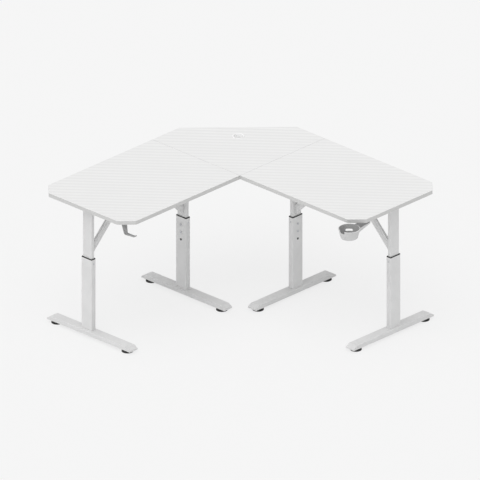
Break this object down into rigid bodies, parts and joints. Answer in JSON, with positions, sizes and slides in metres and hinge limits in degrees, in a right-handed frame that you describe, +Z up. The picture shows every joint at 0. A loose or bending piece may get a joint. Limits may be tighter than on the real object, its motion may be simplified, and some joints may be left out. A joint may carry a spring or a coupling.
{
  "type": "height adjustable corner desk",
  "caption": "L-shaped corner desk with a white top on telescopic T-foot legs set to height by hand, with a cable grommet, a headphone hook and a cup holder.",
  "frame": {"origin": "on the floor, in the middle of the box round the whole desk at its lowest setting", "axes": "+Z up, +X along the right wing away from the corner, -Y along the left wing away from the corner"},
  "size_m": [1.4344, 1.4, 0.727],
  "materials": {
    "top_laminate": "white laminate, faint stripe",
    "powder_coat": "satin powder coat",
    "black_plastic": "matte",
    "zinc_steel": "zinc plated",
    "white_plastic": "satin",
    "grey_plastic": "satin",
    "dowel_wood": "plain beech"
  },
  "bodies": {
    "leg_left_outer": {"lower_tube_left_outer": "powder_coat", "foot_bar_left_outer": "powder_coat", "guide_collar_left_outer": "black_plastic", "leg_bolts_left_outer": "zinc_steel", "hole_plugs_left_outer": "black_plastic", "clamp_plate_left_outer": "zinc_steel"},
    "leg_left_inner": {"lower_tube_left_inner": "powder_coat", "foot_bar_left_inner": "powder_coat", "guide_collar_left_inner": "black_plastic", "leg_bolts_left_inner": "zinc_steel", "hole_plugs_left_inner": "black_plastic", "clamp_plate_left_inner": "zinc_steel"},
    "leg_right_inner": {"lower_tube_right_inner": "powder_coat", "foot_bar_right_inner": "powder_coat", "guide_collar_right_inner": "black_plastic", "leg_bolts_right_inner": "zinc_steel", "hole_plugs_right_inner": "black_plastic", "clamp_plate_right_inner": "zinc_steel"},
    "leg_right_outer": {"lower_tube_right_outer": "powder_coat", "foot_bar_right_outer": "powder_coat", "guide_collar_right_outer": "black_plastic", "leg_bolts_right_outer": "zinc_steel", "hole_plugs_right_outer": "black_plastic", "clamp_plate_right_outer": "zinc_steel"},
    "foot_left_outer_front": {"foot_pad_left_outer_front": "black_plastic", "foot_stud_left_outer_front": "zinc_steel"},
    "foot_left_outer_back": {"foot_pad_left_outer_back": "black_plastic", "foot_stud_left_outer_back": "zinc_steel"},
    "foot_left_inner_front": {"foot_pad_left_inner_front": "black_plastic", "foot_stud_left_inner_front": "zinc_steel"},
    "foot_left_inner_back": {"foot_pad_left_inner_back": "black_plastic", "foot_stud_left_inner_back": "zinc_steel"},
    "foot_right_inner_front": {"foot_pad_right_inner_front": "black_plastic", "foot_stud_right_inner_front": "zinc_steel"},
    "foot_right_inner_back": {"foot_pad_right_inner_back": "black_plastic", "foot_stud_right_inner_back": "zinc_steel"},
    "foot_right_outer_front": {"foot_pad_right_outer_front": "black_plastic", "foot_stud_right_outer_front": "zinc_steel"},
    "foot_right_outer_back": {"foot_pad_right_outer_back": "black_plastic", "foot_stud_right_outer_back": "zinc_steel"},
    "desk_top": {"brace_bolts": "zinc_steel", "brace_left_inner": "powder_coat", "brace_left_outer": "powder_coat", "brace_right_inner": "powder_coat", "brace_right_outer": "powder_coat", "cable_grommet": "white_plastic", "corner_panel": "top_laminate", "cup_holder": "grey_plastic", "glide_bushes": "black_plastic", "headphone_hook": "grey_plastic", "left_wing_panel": "top_laminate", "right_wing_panel": "top_laminate", "seam_dowels": "dowel_wood", "seam_plates": "zinc_steel", "top_screws": "zinc_steel", "upper_leg_left_inner": "powder_coat", "upper_leg_left_outer": "powder_coat", "upper_leg_right_inner": "powder_coat", "upper_leg_right_outer": "powder_coat"}
  },
  "joints": [
    {"name": "height", "type": "slide", "parent": "leg_left_inner", "child": "desk_top", "axis": [0, 0, 1], "range_m": [0, 0.2]},
    {"name": "height_left_outer", "type": "slide", "parent": "desk_top", "child": "leg_left_outer", "axis": [0, 0, -1], "range_m": [0, 0.2]},
    {"name": "height_right_inner", "type": "slide", "parent": "desk_top", "child": "leg_right_inner", "axis": [0, 0, -1], "range_m": [0, 0.2]},
    {"name": "height_right_outer", "type": "slide", "parent": "desk_top", "child": "leg_right_outer", "axis": [0, 0, -1], "range_m": [0, 0.2]},
    {"name": "level_left_outer_front", "type": "slide", "parent": "leg_left_outer", "child": "foot_left_outer_front", "axis": [0, 0, -1], "range_m": [0, 0.008]},
    {"name": "level_left_outer_back", "type": "slide", "parent": "leg_left_outer", "child": "foot_left_outer_back", "axis": [0, 0, -1], "range_m": [0, 0.008]},
    {"name": "level_left_inner_front", "type": "slide", "parent": "leg_left_inner", "child": "foot_left_inner_front", "axis": [0, 0, -1], "range_m": [0, 0.008]},
    {"name": "level_left_inner_back", "type": "slide", "parent": "leg_left_inner", "child": "foot_left_inner_back", "axis": [0, 0, -1], "range_m": [0, 0.008]},
    {"name": "level_right_inner_front", "type": "slide", "parent": "leg_right_inner", "child": "foot_right_inner_front", "axis": [0, 0, -1], "range_m": [0, 0.008]},
    {"name": "level_right_inner_back", "type": "slide", "parent": "leg_right_inner", "child": "foot_right_inner_back", "axis": [0, 0, -1], "range_m": [0, 0.008]},
    {"name": "level_right_outer_front", "type": "slide", "parent": "leg_right_outer", "child": "foot_right_outer_front", "axis": [0, 0, -1], "range_m": [0, 0.008]},
    {"name": "level_right_outer_back", "type": "slide", "parent": "leg_right_outer", "child": "foot_right_outer_back", "axis": [0, 0, -1], "range_m": [0, 0.008]}
  ],
  "couplings": [
    {"joint": "height_left_outer", "follows": "height", "ratio": 1},
    {"joint": "height_right_inner", "follows": "height", "ratio": 1},
    {"joint": "height_right_outer", "follows": "height", "ratio": 1}
  ]
}
